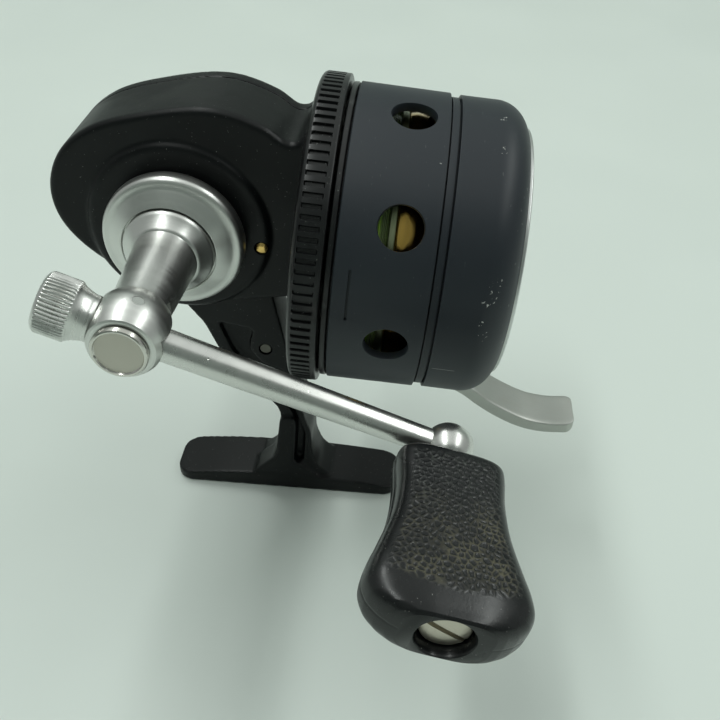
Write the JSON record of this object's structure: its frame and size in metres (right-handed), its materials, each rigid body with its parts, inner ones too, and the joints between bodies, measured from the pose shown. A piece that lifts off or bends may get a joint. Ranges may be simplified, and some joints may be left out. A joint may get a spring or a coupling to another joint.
{
  "type": "spincast fishing reel",
  "caption": "Closed-face fishing reel with a windowed front cover, drag ring, folding crank with a paddle knob, and a trigger lever above its rod foot.",
  "frame": {"origin": "centre of the flat underside of the rod foot", "axes": "+X along the foot towards the line exit, +Z from the foot to the reel, crank handle on the -Y side"},
  "size_m": [0.1183, 0.1225, 0.1097],
  "materials": {
    "case_black": "satin near-black paint on die-cast aluminium",
    "ring_black": "moulded black plastic with a fine axial rib",
    "cover_blue_grey": "satin dark blue-grey anodised or painted aluminium, lightly scuffed",
    "turned_aluminium": "satin turned aluminium with circumferential tool marks",
    "arm_aluminium": "brushed aluminium with fine pits, polished end ball",
    "polished_steel": "polished steel",
    "lever_grey": "satin silver-grey lacquer",
    "brass": "polished brass",
    "bronze": "oiled bronze",
    "badge": "polished rim, brushed beige-silver face, blank",
    "knob_black": "black plastic, pebbled leather-grain faces with worn brownish veins and a gloss border",
    "line_green": "fluorescent yellow-green monofilament, wound",
    "felt": "oiled felt washer",
    "nylon": "natural nylon"
  },
  "bodies": {
    "housing": {"body_casting": "case_black", "side_cover": "case_black", "cover_screw_1": "polished_steel", "cover_screw_2": "polished_steel", "cover_screw_3": "polished_steel", "bush_lock_pin": "brass", "pinion_bush": "bronze", "crank_bush_near": "bronze", "crank_bush_far": "bronze", "trigger_pivot_pin": "polished_steel", "body_plate": "ring_black", "spool_sleeve": "polished_steel", "shaft_bush": "bronze", "drag_pressure_plate": "polished_steel", "drag_disc": "polished_steel", "drag_washer": "felt", "pawl_pin": "polished_steel"},
    "drag_ring": {"drag_ring": "ring_black"},
    "front_cover": {"front_cover": "cover_blue_grey", "face_plate": "turned_aluminium", "line_guide": "polished_steel"},
    "spool": {"spool": "turned_aluminium", "wound_line": "line_green"},
    "pinion": {"pinion": "brass"},
    "spinner": {"main_shaft": "polished_steel", "shaft_clip": "polished_steel", "shaft_spring": "polished_steel", "spinner_head": "brass", "head_nut": "polished_steel", "pin_guide": "brass"},
    "pickup_pin": {"pickup_pin": "polished_steel"},
    "crank": {"crank_shaft": "polished_steel", "drive_gear": "brass", "ratchet_wheel": "polished_steel", "handle_collar": "turned_aluminium", "handle_stem": "turned_aluminium", "fold_pin": "polished_steel", "handle_badge": "badge"},
    "pawl": {"pawl": "polished_steel"},
    "lock_screw": {"lock_screw": "turned_aluminium"},
    "crank_arm": {"crank_arm": "arm_aluminium", "knob_screw": "polished_steel"},
    "knob": {"knob": "knob_black", "knob_sleeve": "nylon"},
    "trigger": {"trigger_lever": "lever_grey"},
    "push_link": {"push_link": "polished_steel"}
  },
  "joints": [
    {"name": "crank_spin", "type": "hinge", "parent": "housing", "child": "crank", "pos_m": [-0.01941, 0, 0.08085], "axis": [0, -1, 0], "continuous": true},
    {"name": "pinion_spin", "type": "hinge", "parent": "housing", "child": "pinion", "pos_m": [0.00636, 0, 0.07664], "axis": [0.9976, 0, -0.0698], "continuous": true},
    {"name": "spinner_slide", "type": "slide", "parent": "pinion", "child": "spinner", "axis": [0.9976, 0, -0.0698], "range_m": [0, 0.003], "deforming": ["shaft_spring"]},
    {"name": "pin_retract", "type": "slide", "parent": "spinner", "child": "pickup_pin", "axis": [-0.0632, -0.4226, -0.9041], "range_m": [0, 0.0022]},
    {"name": "spool_spin", "type": "hinge", "parent": "housing", "child": "spool", "pos_m": [0.00636, 0, 0.07664], "axis": [0.9976, 0, -0.0698], "continuous": true},
    {"name": "drag_ring_turn", "type": "hinge", "parent": "housing", "child": "drag_ring", "pos_m": [0.00636, 0, 0.07664], "axis": [0.9976, 0, -0.0698], "range_deg": [-150, 150]},
    {"name": "cover_pull", "type": "slide", "parent": "housing", "child": "front_cover", "axis": [0.9976, 0, -0.0698], "range_m": [0, 0.05]},
    {"name": "trigger_pull", "type": "hinge", "parent": "housing", "child": "trigger", "pos_m": [-0.00382, 0, 0.04578], "axis": [0, 1, 0], "range_deg": [0, 10], "stiffness_Nm_per_rad": 0.25, "springref_deg": -20.05},
    {"name": "link_slide", "type": "slide", "parent": "housing", "child": "push_link", "axis": [0.9976, 0, -0.0698], "range_m": [0, 0.003]},
    {"name": "pawl_swing", "type": "hinge", "parent": "housing", "child": "pawl", "pos_m": [-0.03446, 0, 0.0807], "axis": [0, -1, 0], "range_deg": [0, 10], "stiffness_Nm_per_rad": 0.002, "springref_deg": -17.19},
    {"name": "arm_fold", "type": "hinge", "parent": "crank", "child": "crank_arm", "pos_m": [-0.01941, -0.0474, 0.08085], "axis": [0.3584, 0, 0.9336], "range_deg": [0, 10]},
    {"name": "lock_screw_turn", "type": "hinge", "parent": "crank", "child": "lock_screw", "pos_m": [-0.01941, -0.0474, 0.08085], "axis": [0.9336, 0, -0.3584], "range_deg": [0, 360]},
    {"name": "knob_spin", "type": "hinge", "parent": "crank_arm", "child": "knob", "pos_m": [0.03903, -0.0474, 0.05841], "axis": [0, -1, 0], "continuous": true}
  ],
  "couplings": [
    {"joint": "pinion_spin", "follows": "crank_spin", "ratio": -4},
    {"joint": "spinner_slide", "follows": "trigger_pull", "m_per_rad": 0.017188},
    {"joint": "link_slide", "follows": "trigger_pull", "m_per_rad": 0.017188},
    {"joint": "pin_retract", "follows": "trigger_pull", "m_per_rad": 0.0126}
  ]
}
